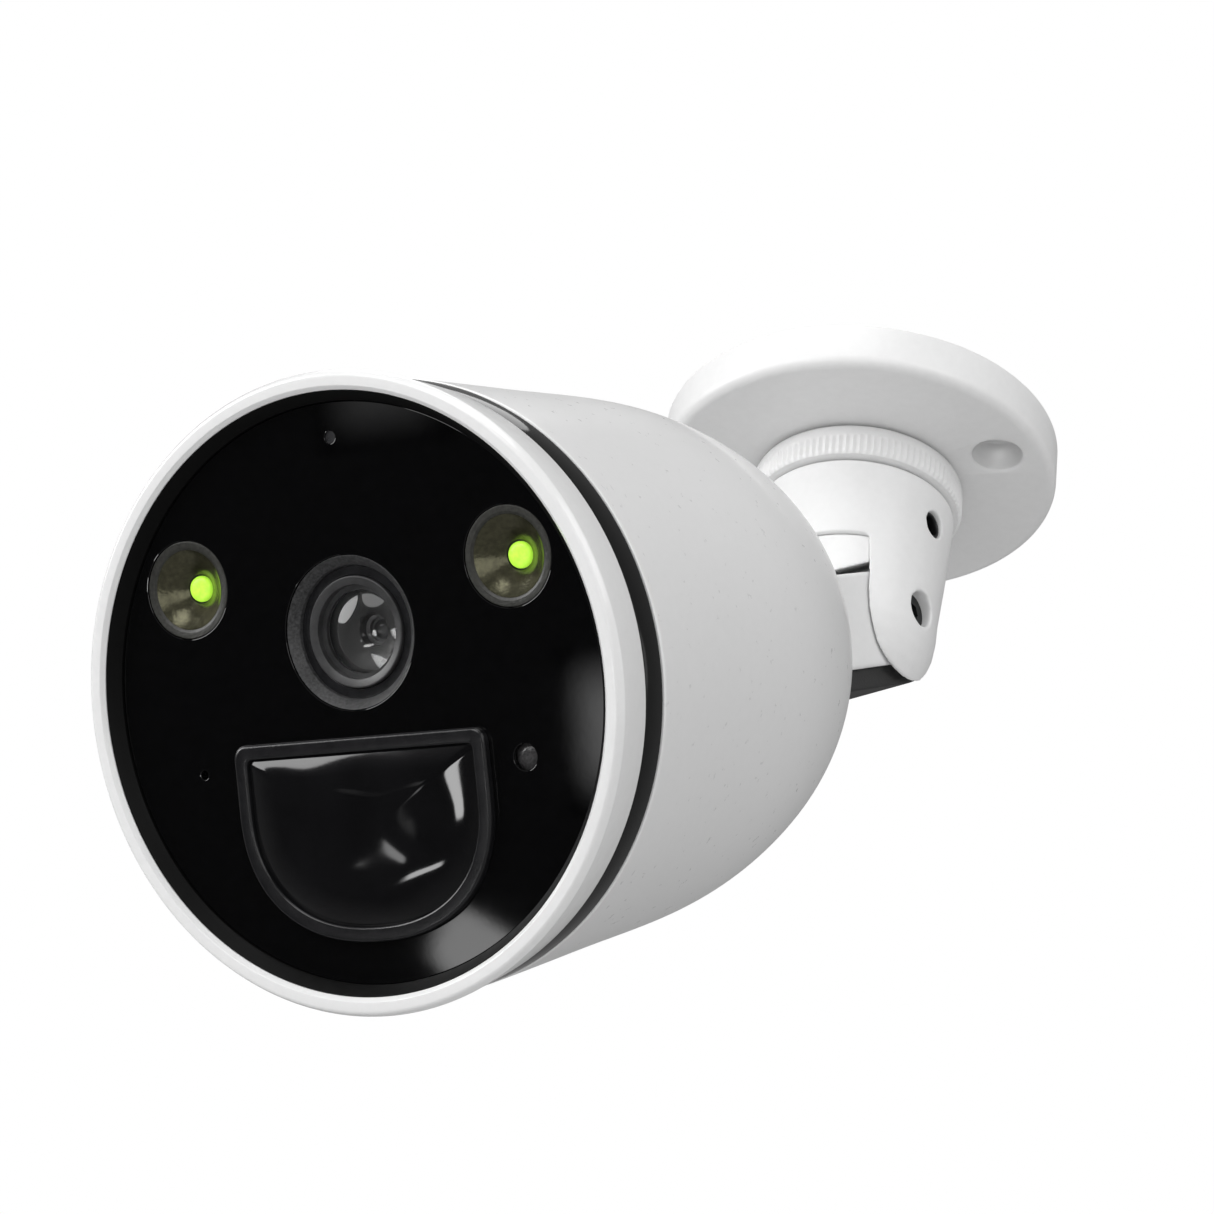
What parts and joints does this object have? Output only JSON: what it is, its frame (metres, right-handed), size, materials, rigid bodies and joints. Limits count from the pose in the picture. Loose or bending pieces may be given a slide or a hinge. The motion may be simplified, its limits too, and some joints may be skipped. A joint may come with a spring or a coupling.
{
  "type": "bullet security camera",
  "caption": "Bullet security camera with a glass-black front face, lens, lamps and motion window, hung on a tilting clevis bracket with a round base plate.",
  "frame": {"origin": "centre of the base plate's mounting face", "axes": "+Z out of the mounting face towards the ceiling, X along the tilt axis, the camera looks mainly towards -Y and hangs towards -Z"},
  "size_m": [0.081, 0.1619, 0.1427],
  "materials": {
    "white_shell": "satin gloss moulded shell",
    "white_bezel": "gloss moulded ring",
    "white_bracket": "satin moulded bracket",
    "white_ring": "satin moulded ring with fine teeth",
    "black_gloss": "gloss",
    "black_satin": "satin",
    "black_plastic": "matte",
    "face_acrylic": "mirror gloss",
    "motion_window": "gloss dark window",
    "seal_rubber": "matte",
    "foam_rubber": "foam",
    "cover_rubber": "satin white rubber",
    "steel": "zinc plated",
    "black_steel": "black oxide",
    "lens_metal": "black anodised",
    "lens_glass": "coated glass",
    "filter_glass": "coated glass",
    "reflector_cup": "dim metallised cup",
    "led_lamp": "yellow-green lit lamp",
    "sensor_can": "plated can",
    "sensor_dome": "dark dome",
    "light_pipe": "smoked light pipe",
    "board_green": "solder mask",
    "board_white": "white solder mask",
    "chip_black": "moulded package",
    "heat_sink_metal": "extruded",
    "antenna_strip": "copper strip",
    "speaker_black": "matte",
    "card_black": "matte",
    "button_grey": "satin"
  },
  "bodies": {
    "base": {"base_plate": "white_bracket", "base_gasket": "foam_rubber", "pan_post": "steel"},
    "lock_ring": {"lock_ring": "white_ring"},
    "stem": {"stem_yoke": "white_bracket", "stem_flange": "white_bracket", "flange_screws": "steel", "tilt_bolt": "black_steel", "tilt_nut": "black_steel", "clamp_screw": "black_steel", "slot_insert": "white_bracket"},
    "arm": {"camera_arm": "white_bracket", "arm_cover": "seal_rubber", "arm_seal": "seal_rubber", "swivel_washer": "steel", "swivel_nut": "steel"},
    "camera": {"housing": "white_shell", "bezel_ring": "white_bezel", "trim_ring": "black_satin", "black_band": "black_gloss", "faceplate": "face_acrylic", "front_carrier": "black_plastic", "front_seal": "seal_rubber", "carrier_screws": "steel", "pir_frame": "black_satin", "pir_lens": "motion_window", "pir_sensor": "sensor_can", "pir_board": "board_green", "reflector_left": "reflector_cup", "reflector_right": "reflector_cup", "led_left": "led_lamp", "led_right": "led_lamp", "led_board": "board_white", "lens_seal": "black_satin", "lens_barrel": "lens_metal", "lens_front": "lens_glass", "lens_rear": "lens_glass", "lens_holder": "black_plastic", "image_sensor": "chip_black", "sensor_board": "board_green", "light_sensor": "sensor_dome", "status_light": "light_pipe", "microphone": "sensor_can", "main_board": "board_green", "processor": "chip_black", "heat_sink": "heat_sink_metal", "wifi_module": "sensor_can", "antenna": "antenna_strip", "board_tray": "black_plastic", "board_screws": "steel", "speaker": "speaker_black", "card_slot": "sensor_can", "reset_switch": "chip_black", "cable_gland": "white_bracket", "gland_seal": "seal_rubber"},
    "cover": {"service_cover": "cover_rubber"},
    "button": {"reset_button": "button_grey"},
    "card": {"memory_card": "card_black"},
    "ir_filter": {"ir_filter_slide": "filter_glass"}
  },
  "joints": [
    {"name": "lock_ring_turn", "type": "hinge", "parent": "base", "child": "lock_ring", "pos_m": [0, 0, -0.0105], "axis": [0, 0, 1], "range_deg": [-180, 0]},
    {"name": "pan", "type": "hinge", "parent": "base", "child": "stem", "pos_m": [0, 0, -0.02], "axis": [0, 0, 1], "range_deg": [-170, 170]},
    {"name": "tilt", "type": "hinge", "parent": "stem", "child": "arm", "pos_m": [0, 0, -0.035], "axis": [1, 0, 0], "range_deg": [-3.5, 55.6]},
    {"name": "roll", "type": "hinge", "parent": "arm", "child": "camera", "pos_m": [0, -0.02682, -0.05336], "axis": [0, 0.8251, 0.565], "range_deg": [-178, 162]},
    {"name": "cover_open", "type": "hinge", "parent": "camera", "child": "cover", "pos_m": [-0.00549, -0.03345, -0.09765], "axis": [0.9863, 0.0932, -0.1362], "range_deg": [0, 75]},
    {"name": "reset_press", "type": "slide", "parent": "camera", "child": "button", "axis": [0.165, -0.5572, 0.8138], "range_m": [0, 0.0005], "stiffness_N_per_m": 800},
    {"name": "card_push", "type": "slide", "parent": "camera", "child": "card", "axis": [0.165, -0.5572, 0.8138], "range_m": [0, 0.0007], "stiffness_N_per_m": 600},
    {"name": "ir_filter_move", "type": "slide", "parent": "camera", "child": "ir_filter", "axis": [0.9863, 0.0932, -0.1362], "range_m": [0, 0.0071]}
  ]
}
